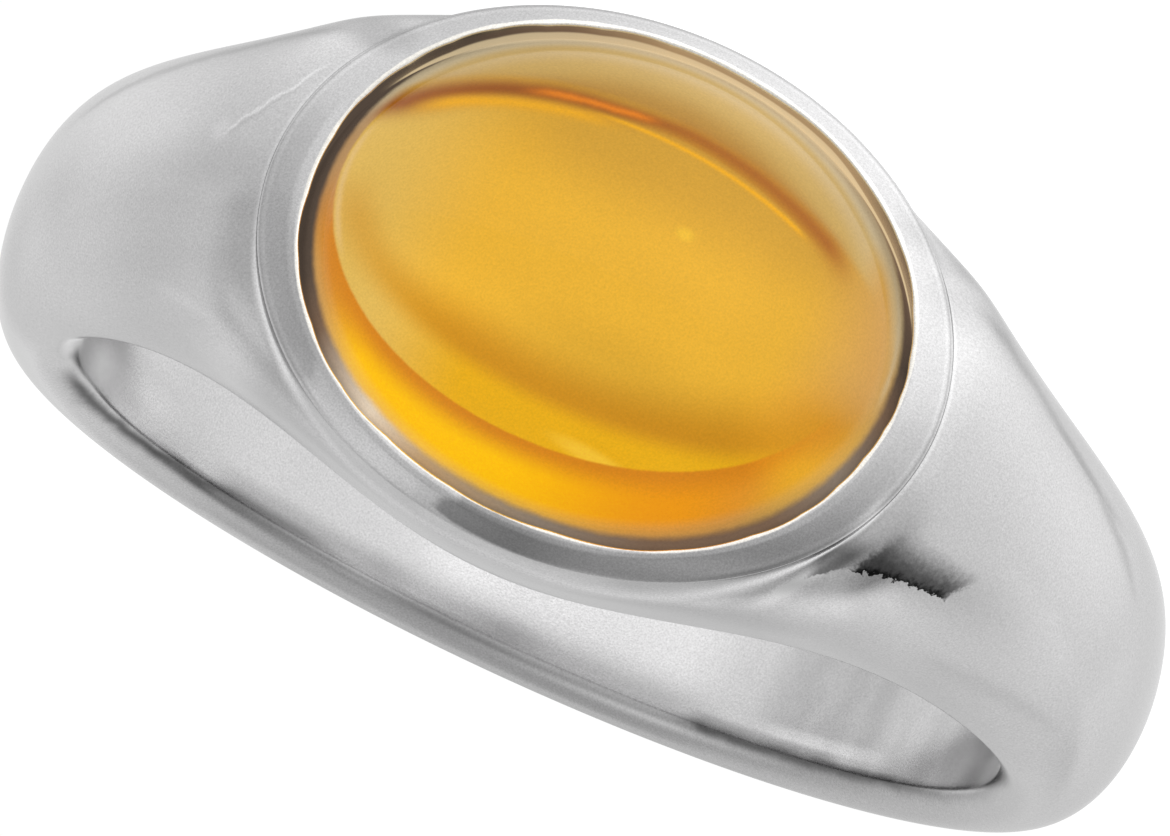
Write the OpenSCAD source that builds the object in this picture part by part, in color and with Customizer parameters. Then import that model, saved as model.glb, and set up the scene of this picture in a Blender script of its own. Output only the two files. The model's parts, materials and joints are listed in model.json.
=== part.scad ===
// A heavy white-metal ring with one oval cabochon in a sloped bezel. It lies on its side.
// It is drawn as worn: X runs along the band at the stone, Y along the finger and Z out
// through the stone, from the finger hole's centre. The last step lays it on its side.

/* [Finger hole] */
// Diameter of the finger hole
hole_d = 19.8; // [16:0.1:23]
// Rounding of the two edges of the finger hole
edge_r = 0.85; // [0.4:0.05:1]

/* [Stone] */
// Length of the oval stone, along the band
stone_l = 12.1; // [9:0.1:14]
// Width of the oval stone, along the finger
stone_w = 9.95; // [7:0.05:10.5]
// Height of the stone's upright edge
girdle_h = 1.1; // [0.6:0.1:1.6]
// Height of the stone's dome above that edge
dome_h = 3.8; // [2.5:0.1:5.5]

/* [Bezel] */
// Height of the bezel's rim above the top of the finger hole
rim_rise = 4.2; // [3.6:0.05:5]
// Width of the narrow flat on top of the rim
rim_flat = 0.15; // [0.1:0.01:0.3]
// Width of the bezel's slope at the two ends of the oval
slope_end = 0.7; // [0.4:0.02:1]
// Width of the bezel's slope at the two sides of the oval
slope_side = 0.34; // [0.25:0.01:0.6]
// How far the slope falls from the rim to the bezel's foot
slope_drop = 0.38; // [0.2:0.02:0.8]
// Height of the bezel's upright foot below the slope, with the part that is sunk
foot_h = 1.2; // [0.9:0.05:1.5]
// Depth of the stone's pocket below the rim
seat_depth = 2.6; // [2.1:0.05:2.8]
// How far the rim laps over the stone's edge
bezel_lap = 0.08; // [0:0.01:0.15]
// Clearance between the stone and its pocket
seat_gap = 0.05; // [0.03:0.01:0.1]

/* [Band] */
// Width of the head at the finger hole
head_w = 10.3; // [9.8:0.1:12]
// Width that the head gains from the finger hole to the bezel, on each side
head_lean = 0.45; // [0.2:0.05:0.7]
// Width of the band at its sides, a quarter turn from the stone
side_w = 4.8; // [3.8:0.1:6]
// Width of the band opposite the stone
back_w = 3.6; // [2.6:0.1:5]
// Thickness of the band at its sides
side_t = 2.25; // [1.6:0.05:3]
// Thickness of the band opposite the stone
back_t = 1.9; // [1.4:0.05:3]
// Angle from the stone over which the shoulders draw in to the band
flare_angle = 31.5; // [26:0.5:42]
// Angle from the stone over which the section turns from square to round
square_angle = 20; // [16:1:30]
// Squareness of the section at the head, where 2 is an ellipse
head_square = 8; // [5:0.5:10]
// Squareness of the section of the band
band_square = 2.1; // [2:0.1:3.5]
// Squareness of the shoulders' side outline
shoulder_square = 2.2; // [2:0.1:2.8]
// How far the shoulders' outline passes outside the bezel's foot
shoulder_out = 0.2; // [0:0.05:0.5]

/* [Hidden] */

hole_r = hole_d / 2;
rim_z = hole_r + rim_rise;
foot_z = rim_z - slope_drop;
seat_z = rim_z - seat_depth;
girdle_z = seat_z + seat_gap + girdle_h;
// Half lengths of the rim's opening, of the bezel's foot and of the pocket
mouth = [stone_l / 2 - bezel_lap, stone_w / 2 - bezel_lap];
foot = mouth + [rim_flat + slope_end, rim_flat + slope_side];
pocket = [stone_l / 2 + seat_gap, stone_w / 2 + seat_gap];

// Sections round the band, closer together at the head by this many degrees
sections = 96;
crowding = 24;
// Steps over the top of one section and round each of its two inner corners
top_steps = 20;
corner_steps = 4;
// Points round the oval of the bezel, the pocket and the stone
oval_points = 72;
// Rings up the stone's dome
dome_rings = 12;
// How far the band's inner face lies behind the wall of the finger hole before it is bored
bore_stock = 0.07;
// Sharpness of the blend where the flat under the bezel meets the shoulders
shoulder_blend = 80;
// Sharpness of the blend where the head's sides meet the bezel's foot
ledge_blend = 24;
// The head's top lies this far below the bezel's foot, and its sides this far outside it
top_sink = 0.06;
ledge = 0.06;

function section_angle(k) = let (u = 360 * k / sections) u - crowding * sin(u);
function bell(angle, spread) = exp(-pow((angle > 180 ? 360 - angle : angle) / spread, 2));

// Distance from the centre to the outline of an oval with half lengths a and b, where a
// squareness of 2 is an ellipse
function oval_r(angle, a, b, square) =
    pow(pow(abs(sin(angle)) / a, square) + pow(abs(cos(angle)) / b, square), -1 / square);

// The side outline of the shoulders is an oval that passes just outside the bezel's foot and
// through the band's side. The flat under the bezel cuts it off.
side_x = hole_r + side_t;
shoulder_z = foot_z / pow(
    1 - pow((foot[0] + shoulder_out) / side_x, shoulder_square), 1 / shoulder_square);
function outline_r(angle) =
    let (
        near_r = oval_r(angle, side_x, shoulder_z, shoulder_square),
        flat = cos(angle) / (foot_z - top_sink)
    )
    cos(angle) < 0 ? oval_r(angle, side_x, hole_r + back_t, 2) :
    pow(pow(near_r, -shoulder_blend) + pow(flat, shoulder_blend), -1 / shoulder_blend);

// Half widths of the band at the finger hole and at the top of the section
band_half = function (angle) back_w / 2 + (side_w - back_w) / 2 * (1 + cos(angle));
function low_half(angle) =
    band_half(angle) + (head_w / 2 - band_half(0)) * bell(angle, flare_angle);
function foot_half(angle) =
    let (x = foot_z * sin(angle) / foot[0], z = cos(angle))
    z > abs(x) ? foot[1] * sqrt(1 - pow(x / z, 2)) + ledge : 0;
function high_half(angle) =
    let (lean = low_half(angle) + (head_lean - ledge) * bell(angle, square_angle))
    pow(pow(lean, ledge_blend) + pow(foot_half(angle), ledge_blend), 1 / ledge_blend);

// One section of the band, as [along the finger, out from its axis] points
function section(angle) =
    let (
        low = low_half(angle),
        high = high_half(angle),
        base_r = hole_r - bore_stock + edge_r,
        rise = outline_r(angle) - base_r,
        n = band_square + (head_square - band_square) * bell(angle, square_angle)
    )
    concat(
        [for (j = [0 : corner_steps - 1])
            let (a = 90 * j / corner_steps - 90)
            [low - edge_r + edge_r * cos(a), base_r + edge_r * sin(a)]],
        [for (j = [0 : top_steps])
            let (
                a = 180 * j / top_steps,
                up = pow(sin(a), 2 / n),
                across = sign(cos(a)) * pow(abs(cos(a)), 2 / n)
            )
            [across * (low + (high - low) * up), base_r + rise * up]],
        [for (j = [1 : corner_steps])
            let (a = 180 + 90 * j / corner_steps)
            [edge_r - low + edge_r * cos(a), base_r + edge_r * sin(a)]]
    );
function place(angle, p) = [p[1] * sin(angle), p[0], p[1] * cos(angle)];

band_rings = [for (k = [0 : sections - 1])
    let (angle = section_angle(k)) [for (p = section(angle)) place(angle, p)]];

// One ring of points of an oval, from its half lengths and its height
function oval(half, z) = [for (k = [0 : oval_points - 1])
    let (a = 360 * k / oval_points) [half[0] * cos(a), half[1] * sin(a), z]];

// Triangles between each ring of m points and the next
function skin(rings, m, closed) = [
    for (k = [0 : rings - (closed ? 1 : 2)], j = [0 : m - 1])
        let (
            a = k * m + j,
            b = k * m + (j + 1) % m,
            c = ((k + 1) % rings) * m + j,
            d = ((k + 1) % rings) * m + (j + 1) % m
        )
        each [[a, c, d], [a, d, b]]
];

// A solid through a stack of ovals, closed at both ends
module oval_stack(rings) {
    m = oval_points;
    top = (len(rings) - 1) * m;
    polyhedron(
        points = [for (r = rings) each r],
        faces = concat(
            [[for (j = [0 : m - 1]) j]],
            skin(len(rings), m, false),
            [[for (j = [m - 1 : -1 : 0]) top + j]]
        )
    );
}

module band() {
    polyhedron(
        points = [for (r = band_rings) each r],
        faces = skin(sections, len(band_rings[0]), true)
    );
}

bezel_rings = [
    oval(foot - [0.15, 0.15], foot_z - foot_h),
    oval(foot, foot_z),
    oval(mouth + [rim_flat, rim_flat], rim_z)
];

module bezel() {
    oval_stack(bezel_rings);
}

module seat() {
    oval_stack([
        oval(pocket, seat_z),
        oval(pocket, girdle_z),
        oval(mouth, rim_z),
        oval(mouth, rim_z + 1)
    ]);
}

// Rings of the stone: a small bevel under its edge, the upright edge, then the dome
stone_half = [stone_l, stone_w] / 2;
stone_bevel = 0.2;
stone_rings = concat(
    [
        oval(stone_half - [stone_bevel, stone_bevel], seat_z + seat_gap),
        oval(stone_half, seat_z + seat_gap + stone_bevel)
    ],
    [for (k = [0 : dome_rings])
        let (a = 86 * k / dome_rings) oval(stone_half * cos(a), girdle_z + dome_h * sin(a))]
);

// The floor touches the head's side and the band's side opposite the stone, so the ring
// leans until both reach equally far
side_points = concat([for (r = band_rings) each r], bezel_rings[1], bezel_rings[2]);
head_points = [for (p = side_points) if (p[1] > 0 && p[2] > 0) p];
back_points = [for (p = side_points) if (p[1] > 0 && p[2] < 0) p];
function reach(points, lean) = max([for (p = points) p[1] * cos(lean) - p[2] * sin(lean)]);
function settle(low, high, steps) =
    let (lean = (low + high) / 2)
    steps == 0 ? lean :
    reach(head_points, lean) > reach(back_points, lean) ?
        settle(lean, high, steps - 1) :
        settle(low, lean, steps - 1);
rest_lean = settle(0, 40, 20);
floor_reach = reach(head_points, rest_lean);
// The ring's ends along the floor, which the origin lies between
function along(p) = p[1] * sin(rest_lean) + p[2] * cos(rest_lean);
ends = [
    min([for (p = side_points) along(p)]),
    max([for (p = concat(side_points, stone_rings[len(stone_rings) - 1])) along(p)])
];

module laid() {
    translate([0, (ends[0] + ends[1]) / 2, floor_reach])
        rotate([rest_lean - 90, 0, 180])
            children();
}

module mounting() {
    color("silver")
        laid()
            difference() {
                union() {
                    band();
                    bezel();
                }
                rotate([90, 0, 0])
                    cylinder(h = 2 * head_w, r = hole_r, center = true, $fn = 180);
                seat();
            }
}

module cabochon() {
    color("orange")
        laid()
            oval_stack(stone_rings);
}

mounting();
cabochon();
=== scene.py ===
import json
import math
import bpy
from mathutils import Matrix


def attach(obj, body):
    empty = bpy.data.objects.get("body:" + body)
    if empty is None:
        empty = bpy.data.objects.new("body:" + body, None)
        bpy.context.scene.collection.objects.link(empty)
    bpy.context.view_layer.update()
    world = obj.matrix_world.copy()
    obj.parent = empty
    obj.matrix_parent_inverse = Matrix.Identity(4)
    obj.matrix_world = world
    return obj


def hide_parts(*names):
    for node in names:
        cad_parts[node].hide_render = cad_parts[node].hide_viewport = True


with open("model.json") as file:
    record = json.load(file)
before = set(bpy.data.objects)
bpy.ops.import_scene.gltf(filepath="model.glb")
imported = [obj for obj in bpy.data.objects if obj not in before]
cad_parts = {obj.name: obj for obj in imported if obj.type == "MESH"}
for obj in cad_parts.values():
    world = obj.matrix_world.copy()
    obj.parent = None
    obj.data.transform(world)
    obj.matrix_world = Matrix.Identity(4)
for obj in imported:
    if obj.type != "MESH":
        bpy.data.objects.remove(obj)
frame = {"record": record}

from types import SimpleNamespace

import bpy
import numpy as np
from bpy.props import FloatProperty, FloatVectorProperty, PointerProperty
from mathutils import Matrix, Vector

bl_info = {
    "name": "Cabochon ring",
    "version": (1, 0, 0),
    "blender": (4, 5, 0),
    "location": "View3D > Sidebar > Cabochon ring",
    "description": "A heavy polished signet-style ring with one oval cabochon in a sloped bezel",
    "category": "Object",
}

PHOTO_SIZE = (1170, 836)
MM = 0.001


# The lay of the ring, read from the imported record

def hole_mount():
    """The finger hole's mount: its place is the worn frame's centre, and its axis lies along the finger."""
    return next(m for m in frame["record"]["mounts"] if m["name"] == "finger_hole")


def worn_axes():
    """The worn frame's X (along the band at the stone), Y (along the finger) and Z (out through the stone) as
    columns in the row frame: X is the row's X turned round, and Y the mount's axis turned round."""
    finger = -Vector(hole_mount()["axis"]).normalized()
    along = Vector((-1, 0, 0))
    return Matrix((along, finger, along.cross(finger))).transposed()


def laid(points):
    """Worn points in millimetres, in the row frame in metres."""
    turn = np.array(worn_axes())
    return points @ turn.T * MM + np.array(hole_mount()["pos_m"])


# Sizes and colours that a user would change

def length(default_mm, words):
    return FloatProperty(
        name=words, default=default_mm * MM, min=0, precision=5, subtype="DISTANCE", unit="LENGTH")


def angle(default_deg, words):
    return FloatProperty(name=words, default=math.radians(default_deg), subtype="ANGLE", unit="ROTATION")


def number(default, words):
    return FloatProperty(name=words, default=default)


def colour(default, words):
    return FloatVectorProperty(name=words, default=default, size=3, min=0, max=1, subtype="COLOR")


class RingSizes(bpy.types.PropertyGroup):
    """The sizes of the mounting and the stone"""
    hole_d: length(19.8, "Diameter of the finger hole")
    edge_r: length(0.85, "Rounding of the hole's two edges")
    edge_less: length(0.38, "How much narrower that rounding is in the lower half")
    bore_stock: length(0.07, "How far that rounding starts behind the hole's wall")
    stone_l: length(12.1, "Length of the oval stone, along the band")
    stone_w: length(9.95, "Width of the oval stone, along the finger")
    girdle_h: length(1.1, "Height of the stone's upright edge")
    dome_h: length(3.8, "Height of the stone's dome above its edge")
    stone_bevel: length(0.2, "Bevel under the stone's edge")
    rim_rise: length(4.2, "Height of the bezel's rim above the finger hole")
    rim_flat: length(0.15, "Width of the flat on top of the rim")
    slope_end: length(0.7, "Width of the bezel's slope at the oval's ends")
    slope_side: length(0.34, "Width of the bezel's slope at the oval's sides")
    slope_drop: length(0.38, "Fall of the slope from the rim to the bezel's foot")
    seat_depth: length(2.6, "Depth of the stone's pocket below the rim")
    bezel_lap: length(0.08, "How far the rim laps over the stone's edge")
    seat_gap: length(0.05, "Clearance between the stone and its pocket")
    cove: length(0.34, "Width of the cove round the bezel's foot")
    head_w: length(10.3, "Width of the head at the finger hole")
    head_lean: length(0.45, "Width that the head gains up to the bezel, each side")
    ledge: length(0.06, "How far the head's sides lie outside the bezel's foot")
    top_sink: length(0.06, "How far the head's top lies below the bezel's foot")
    side_w: length(4.8, "Width of the band a quarter turn from the stone")
    back_w: length(3.6, "Width of the band opposite the stone")
    side_t: length(2.25, "Thickness of the band a quarter turn from the stone")
    back_t: length(1.9, "Thickness of the band opposite the stone")
    shoulder_out: length(0.2, "How far the shoulders pass outside the bezel's foot")
    flare_angle: angle(31.5, "Angle over which the shoulders draw in to the band")
    square_angle: angle(20, "Angle over which the section turns from square to round")
    head_square: number(8, "Squareness of the section at the head, 2 for an ellipse")
    band_square: number(2.1, "Squareness of the section of the band")
    shoulder_square: number(2.2, "Squareness of the shoulders' side outline")


class RingLooks(bpy.types.PropertyGroup):
    """The colours of the metal, the stone and the floor"""
    metal: colour((0.62, 0.617, 0.62), "Polished white metal")
    # painted highlight along the burnished rim's top
    rim: colour((0.93, 0.9, 0.84), "Burnished rim")
    # painted shade in the gap between rim and stone, with painted light where the stone shines through
    gap_dark: colour((0.095, 0.07, 0.053), "Gap between rim and stone, darkest")
    gap_brown: colour((0.18, 0.118, 0.078), "Gap, brown")
    gap_gold: colour((0.4, 0.28, 0.155), "Gap, where the stone shines through")
    gap_grey: colour((0.23, 0.185, 0.145), "Gap, greyer")
    gap_cream: colour((0.56, 0.49, 0.4), "Gap, where the light falls in")
    # the stone's colours carry painted light and shade: lit lens, crescent and shine, reflected bands, shaded
    # arc
    haze: colour((0.68, 0.5, 0.22), "Stone's pale edge beside the gap, in front")
    gold: colour((0.82, 0.445, 0.035), "Stone's middle")
    deep_gold: colour((0.67, 0.355, 0.035), "Middle below the dark arc")
    pale_gold: colour((0.73, 0.465, 0.095), "Middle's left end")
    blush: colour((0.65, 0.345, 0.085), "Middle's right end")
    olive: colour((0.6, 0.265, 0.012), "Darker arc below the middle")
    lens: colour((0.78, 0.405, 0.008), "Bright lens below the olive arc")
    lens_light: colour((0.9, 0.54, 0.04), "Light strip in the lens")
    line: colour((0.65, 0.225, 0.01), "Dark orange line outside the lens")
    crescent: colour((1.0, 0.53, 0.0), "Glowing crescent")
    crescent_right: colour((0.84, 0.31, 0.006), "Crescent's right part")
    crescent_end: colour((0.64, 0.27, 0.04), "Crescent's right end")
    crescent_left: colour((0.66, 0.27, 0.03), "Crescent's left part")
    left_end: colour((0.52, 0.31, 0.14), "Stone beside the rim at its left end")
    left_edge: colour((0.78, 0.52, 0.2), "Light edge at the left end")
    band: colour((0.645, 0.41, 0.105), "Stone's pale upper band")
    band_low: colour((0.54, 0.285, 0.045), "Upper band beside the dark arc")
    band_high: colour((0.65, 0.447, 0.17), "Upper band towards the rim")
    band_rim: colour((0.73, 0.6, 0.38), "Upper band beside the rim")
    arc: colour((0.34, 0.095, 0.007), "Dark arc under the upper band")
    arc_right: colour((0.45, 0.145, 0.01), "Right part of the dark arc")
    flame: colour((0.84, 0.23, 0.006), "Orange streak in the dark arc")
    shine: colour((0.95, 0.45, 0.01), "Bright line under the dark arc")
    floor: colour((1.0, 1.0, 1.0), "Pale floor")


def sizes():
    """The user's sizes, in millimetres and degrees, with the lengths that follow from them."""
    group = bpy.context.scene.ring_sizes
    s = SimpleNamespace()
    for key, prop in group.bl_rna.properties.items():
        if prop.type == "FLOAT":
            value = getattr(group, key)
            if prop.subtype == "DISTANCE":
                value = round(value / MM, 5)
            elif prop.subtype == "ANGLE":
                value = round(math.degrees(value), 5)
            setattr(s, key, value)
    s.hole_r = s.hole_d / 2
    s.base_r = s.hole_r - s.bore_stock + s.edge_r
    s.rim_z = s.hole_r + s.rim_rise
    s.foot_z = s.rim_z - s.slope_drop
    s.seat_z = s.rim_z - s.seat_depth
    s.girdle_z = s.seat_z + s.seat_gap + s.girdle_h
    s.mouth = np.array([s.stone_l / 2 - s.bezel_lap, s.stone_w / 2 - s.bezel_lap])
    s.foot = s.mouth + np.array([s.rim_flat + s.slope_end, s.rim_flat + s.slope_side])
    s.pocket = np.array([s.stone_l / 2 + s.seat_gap, s.stone_w / 2 + s.seat_gap])
    return s


# The band's surface

SHOULDER_BLEND = 80
LEDGE_BLEND = 24


def folded(deg):
    """An angle as its distance from the stone, 0 to 180 degrees either way round."""
    return np.abs((deg + 180) % 360 - 180)


def bell(deg, spread):
    """A bell curve: e to the power of minus (angle / spread) squared."""
    return np.exp(-((folded(deg) / spread) ** 2))


def oval_r(deg, a, b, square):
    """Distance to a superellipse: (|sin|/a)^n + (|cos|/b)^n, to the power of -1/n."""
    t = np.radians(deg)
    return ((np.abs(np.sin(t)) / a) ** square + (np.abs(np.cos(t)) / b) ** square) ** (-1 / square)


def outline_r(s, deg):
    """The side outline: an ellipse below the hole, and above it a superellipse that passes just outside the
    bezel's foot and is cut off by a flat under the bezel, with a power blend."""
    side_x = s.hole_r + s.side_t
    n = s.shoulder_square
    shoulder_z = s.foot_z / (1 - ((s.foot[0] + s.shoulder_out) / side_x) ** n) ** (1 / n)
    near = oval_r(deg, side_x, shoulder_z, n)
    flat = np.clip(np.cos(np.radians(deg)), 0, 1) / (s.foot_z - s.top_sink)
    upper = (near ** -SHOULDER_BLEND + flat ** SHOULDER_BLEND) ** (-1 / SHOULDER_BLEND)
    return np.where(flat > 0, upper, oval_r(deg, side_x, s.hole_r + s.back_t, 2))


def half_widths(s, deg):
    """Half widths of the section at the hole and at its top: a cosine from back to side plus a bell at the
    head. The top also leans out to the bezel's foot, with a power blend."""
    t = np.radians(deg)
    plain = s.back_w / 2 + (s.side_w - s.back_w) / 2 * (1 + np.cos(t))
    low = plain + (s.head_w / 2 - s.side_w + s.back_w / 2) * bell(deg, s.flare_angle)
    x, z = s.foot_z * np.sin(t) / s.foot[0], np.cos(t)
    inside = z > np.abs(x)
    share = np.where(inside, 1 - (x / np.where(inside, z, 1)) ** 2, 0)
    foot = np.where(inside, s.foot[1] * np.sqrt(share) + s.ledge, 0)
    lean = low + (s.head_lean - s.ledge) * bell(deg, s.square_angle)
    return low, (lean ** LEDGE_BLEND + foot ** LEDGE_BLEND) ** (1 / LEDGE_BLEND)


def squareness(s, deg):
    return s.band_square + (s.head_square - s.band_square) * bell(deg, s.square_angle)


def place(deg, y, out):
    """A section's point (y along the finger, out from the axis) turned by an angle from the stone."""
    t = np.radians(deg)
    return np.stack(np.broadcast_arrays(out * np.sin(t), y, out * np.cos(t)), -1)


def band_point(s, deg, slant):
    """The band's outer surface, a superellipse with leaning sides, from the angle round the finger and the
    slant across the section: 0 at one edge of the hole, 90 at the top, 180 at the other."""
    c, u = np.cos(np.radians(slant)), np.sin(np.radians(slant))
    n = squareness(s, deg)
    k = (np.abs(c) ** n + np.abs(u) ** n) ** (-1 / n)
    low, high = half_widths(s, deg)
    up = u * k
    return place(deg, c * k * (low + (high - low) * up), s.base_r + (outline_r(s, deg) - s.base_r) * up)


SEARCH_BELOW_FOOT = 1.1
SEARCH_ABOVE_RIM = 1
HALVINGS = 46


def band_under(s, x, y):
    """The angle and slant of the band's surface straight under worn (x, y): the height's range is halved on
    the section's own equation, (|y| / width)^n + up^n = 1, from inside the metal."""
    lo, hi = np.full_like(x, s.foot_z - SEARCH_BELOW_FOOT), np.full_like(x, s.rim_z + SEARCH_ABOVE_RIM)
    for _ in range(HALVINGS):
        z = (lo + hi) / 2
        deg = np.degrees(np.arctan2(x, z))
        up = (np.hypot(x, z) - s.base_r) / (outline_r(s, deg) - s.base_r)
        low, high = half_widths(s, deg)
        n = squareness(s, deg)
        across = np.abs(y) / (low + (high - low) * np.clip(up, 0, None))
        out = across ** n + np.clip(up, 0, None) ** n > 1
        lo, hi = np.where(out, lo, z), np.where(out, z, hi)
    return deg, np.degrees(np.arctan2(up, across * np.sign(y)))


# Meshes

def join_rings(a, b):
    """Quads between two closed rings of point numbers."""
    return np.stack([a, b, np.roll(b, -1), np.roll(a, -1)], -1)


def fan(pole, ring):
    """Triangles from one point to a closed ring."""
    return np.stack([np.full_like(ring, pole), ring, np.roll(ring, -1)], -1)


def mesh_piece(name, shape, material):
    """A smooth mesh of worn points. Its faces are turned round if its volume comes out negative."""
    points, quads, tris = shape[0], np.concatenate(shape[1]), np.concatenate(shape[2])
    flat = np.concatenate([quads[:, [0, 1, 2]], quads[:, [0, 2, 3]], tris])
    p = points[flat]
    if np.einsum("ij,ij->i", p[:, 0], np.cross(p[:, 1], p[:, 2])).sum() < 0:
        quads, tris = quads[:, ::-1], tris[:, ::-1]
    used = np.unique(np.concatenate([quads.ravel(), tris.ravel()]))
    renumber = np.zeros(len(points), int)
    renumber[used] = np.arange(len(used))
    mesh = bpy.data.meshes.new(name)
    mesh.from_pydata(laid(points[used]).tolist(), [], renumber[quads].tolist() + renumber[tris].tolist())
    mesh.polygons.foreach_set("use_smooth", np.ones(len(mesh.polygons), bool))
    mesh.update()
    mesh.materials.append(material)
    piece = bpy.data.objects.new(name, mesh)
    bpy.context.scene.collection.objects.link(piece)
    return piece


def oval(half, z, u, irregular=0.0):
    """Points of a level oval at the angles u; irregular moves each out along the oval's own normal."""
    x, y = half[0] * np.cos(u), half[1] * np.sin(u)
    nx, ny = np.cos(u) / half[0], np.sin(u) / half[1]
    k = np.hypot(nx, ny)
    return np.stack(np.broadcast_arrays(x + irregular * nx / k, y + irregular * ny / k, z), -1)


HEAD_REACH = 38
HEAD_STEPS = 150
REST_STEPS = 318
TOP_STEPS = 96
CORNER_STEPS = 12
BORE_STEPS = 26
EDGE_NARROWS_FROM = 60
EDGE_NARROWS_OVER = 60


def edge_width(s, deg):
    """How wide the hole's rounded edge is along the finger: less in the lower half than at the head."""
    turn = (folded(deg) - EDGE_NARROWS_FROM) * (180 / EDGE_NARROWS_OVER)
    return s.edge_r - s.edge_less * (0.5 - 0.5 * np.cos(np.radians(np.clip(turn, 0, 180))))


def band_sections(s):
    """The band as a grid: angles round the finger by points round the section, over the top, round one corner
    of the hole, along the bore and round the other corner. Returns the points and the angles."""
    head = np.linspace(-HEAD_REACH, HEAD_REACH, HEAD_STEPS + 1)
    rest = np.linspace(HEAD_REACH, 360 - HEAD_REACH, REST_STEPS + 1)[1:-1]
    deg = np.concatenate([head, rest])[:, None]
    low, _ = half_widths(s, deg)
    wide = edge_width(s, deg)

    def corner(side, slants):
        """One rounded edge of the hole, at the slants given in degrees."""
        a = np.radians(slants)[None]
        out = s.base_r + (s.base_r - s.hole_r) * np.sin(a)
        return place(deg, side * (low - wide) + wide * np.cos(a), out)

    top = band_point(s, deg, np.linspace(0, 180, TOP_STEPS + 1)[None])
    first = corner(-1, np.linspace(180, 270, CORNER_STEPS + 1)[1:])
    across = np.linspace(-1, 1, BORE_STEPS + 1)[None, 1:-1]
    bore = place(deg, across * (low - wide), s.hole_r + 0 * across)
    second = corner(1, np.linspace(-90, 0, CORNER_STEPS + 1)[:-1])
    return np.concatenate([top, first, bore, second], 1), deg[:, 0]


def head_edge():
    """Rows and columns of the grid's points round the head's window, and their directions in it."""
    h, t = HEAD_STEPS, TOP_STEPS
    rows = np.concatenate([np.arange(h), np.full(t, h), np.arange(h, 0, -1), np.zeros(t, int)])
    cols = np.concatenate([np.zeros(h, int), np.arange(t), np.full(h, t), np.arange(t, 0, -1)])
    return rows, cols, np.arctan2(1 - 2 * cols / t, 2 * rows / h - 1)


RIM_WAVE = 0.045
RIM_TURN = 2.8
RIM_SHORT_WAVE = 0.014
RIM_BACK = 0.03
RIM_FACETS = 26
RIM_SAG = 0.02


def burnished(u):
    """How far the rim's inner edge strays from its oval: outwards at the back, four long waves, eleven short
    ones, and the sag of the burnisher's straight facets."""
    facet = (u * RIM_FACETS / (2 * math.pi) + 0.8 * np.sin(2 * u + 0.6) + 0.5 * np.sin(3 * u)) % 1
    waves = RIM_WAVE * np.cos(4 * u - RIM_TURN) + RIM_SHORT_WAVE * np.sin(11 * u + 1)
    return RIM_BACK * np.sin(u) + waves + RIM_SAG * (4 * facet * (1 - facet) - 0.6)


# The rings on each part of the bezel, as shares of that part
FLOOR_RINGS = (0.25, 0.5, 0.75, 0.9, 0.985)
WALL_RINGS = (0.02, 0.3, 0.6, 0.98)
LAP_RINGS = (0.03, 0.3, 0.6, 0.8, 0.93)
SLOPE_RINGS = (0.06, 0.15, 0.3, 0.45, 0.6, 0.75, 0.88, 0.96)
SLOPE_SWELL = 0.1
# The rim's rings: share of its width, and drop below its top
RIM_RINGS = (
    (0, 0.05), (0.04, 0.022), (0.16, 0.006), (0.35, 0), (0.65, 0), (0.84, 0.004), (0.97, 0.014))
# The rings round the foot's edge: drop below the foot, and distance outside it
FOOT_RINGS = ((0.003, -0.004), (0.02, 0.004))


def bezel_rings(s, u):
    """Rings from the pocket's floor up its wall, over the rim and down the slope to the bezel's foot."""
    kink = burnished(u)
    floor = [oval(s.pocket * k, s.seat_z, u) for k in FLOOR_RINGS]
    wall = [oval(s.pocket, s.seat_z + (s.girdle_z - s.seat_z) * k, u) for k in WALL_RINGS]
    lap = [oval(s.pocket + (s.mouth - s.pocket) * k, s.girdle_z + (s.rim_z - s.girdle_z) * k, u, kink * k)
           for k in LAP_RINGS]
    rim = [oval(s.mouth + s.rim_flat * k, s.rim_z - drop, u, kink * (1 - k)) for k, drop in RIM_RINGS]
    outer = s.mouth + s.rim_flat
    slope = [oval(outer + (s.foot - outer) * k, s.rim_z - s.slope_drop * k + SLOPE_SWELL * k * (1 - k), u)
             for k in SLOPE_RINGS]
    edge = [oval(s.foot, s.foot_z - drop, u, out) for drop, out in FOOT_RINGS]
    return floor + wall + lap + rim + slope + edge


COVE_DROP = 0.045
COVE_CLEAR = 0.004
# How high the bezel stands over the band where the cove has its full width, and its least share of it
COVE_FULL_AT = 0.5
COVE_LEAST = 0.4
COVE_SHARES = (0.01, 0.4)
COVE_STEPS = 12
HEAD_RINGS = 48
HEAD_CROWDING = 1.25
TRIAL = 0.02


def head_rings(s, u, deg_edge, slant_edge):
    """Rings from the bezel's foot out to the window's edge: a cove, curved by way of the band's surface
    straight under the foot, then the band's surface, along straight lines in angle and slant."""
    foot = oval(s.foot, s.foot_z, u)
    deg_foot, slant_foot = band_under(s, foot[:, 0], foot[:, 1])
    under = band_point(s, deg_foot, slant_foot)
    start = foot - np.array([0, 0, COVE_DROP])
    start[:, 2] = np.maximum(start[:, 2], under[:, 2] + COVE_CLEAR)

    def along(k):
        return band_point(s, deg_foot + (deg_edge - deg_foot) * k, slant_foot + (slant_edge - slant_foot) * k)

    whole = np.linalg.norm(along(TRIAL) - along(0.0), axis=-1) / TRIAL
    stands = np.clip((s.foot_z - under[:, 2]) / COVE_FULL_AT, 0, 1)
    wide = s.cove * (COVE_LEAST + (1 - COVE_LEAST) * stands)
    first = np.clip(wide / whole, *COVE_SHARES)
    end = along(first)
    cove = [start * (1 - k) ** 2 + 2 * k * (1 - k) * under + end * k * k
            for k in np.linspace(0, 1, COVE_STEPS + 1)]
    rest = [along(first + (1 - first) * k) for k in np.linspace(0, 1, HEAD_RINGS + 1)[1:-1] ** HEAD_CROWDING]
    return cove + rest


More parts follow.
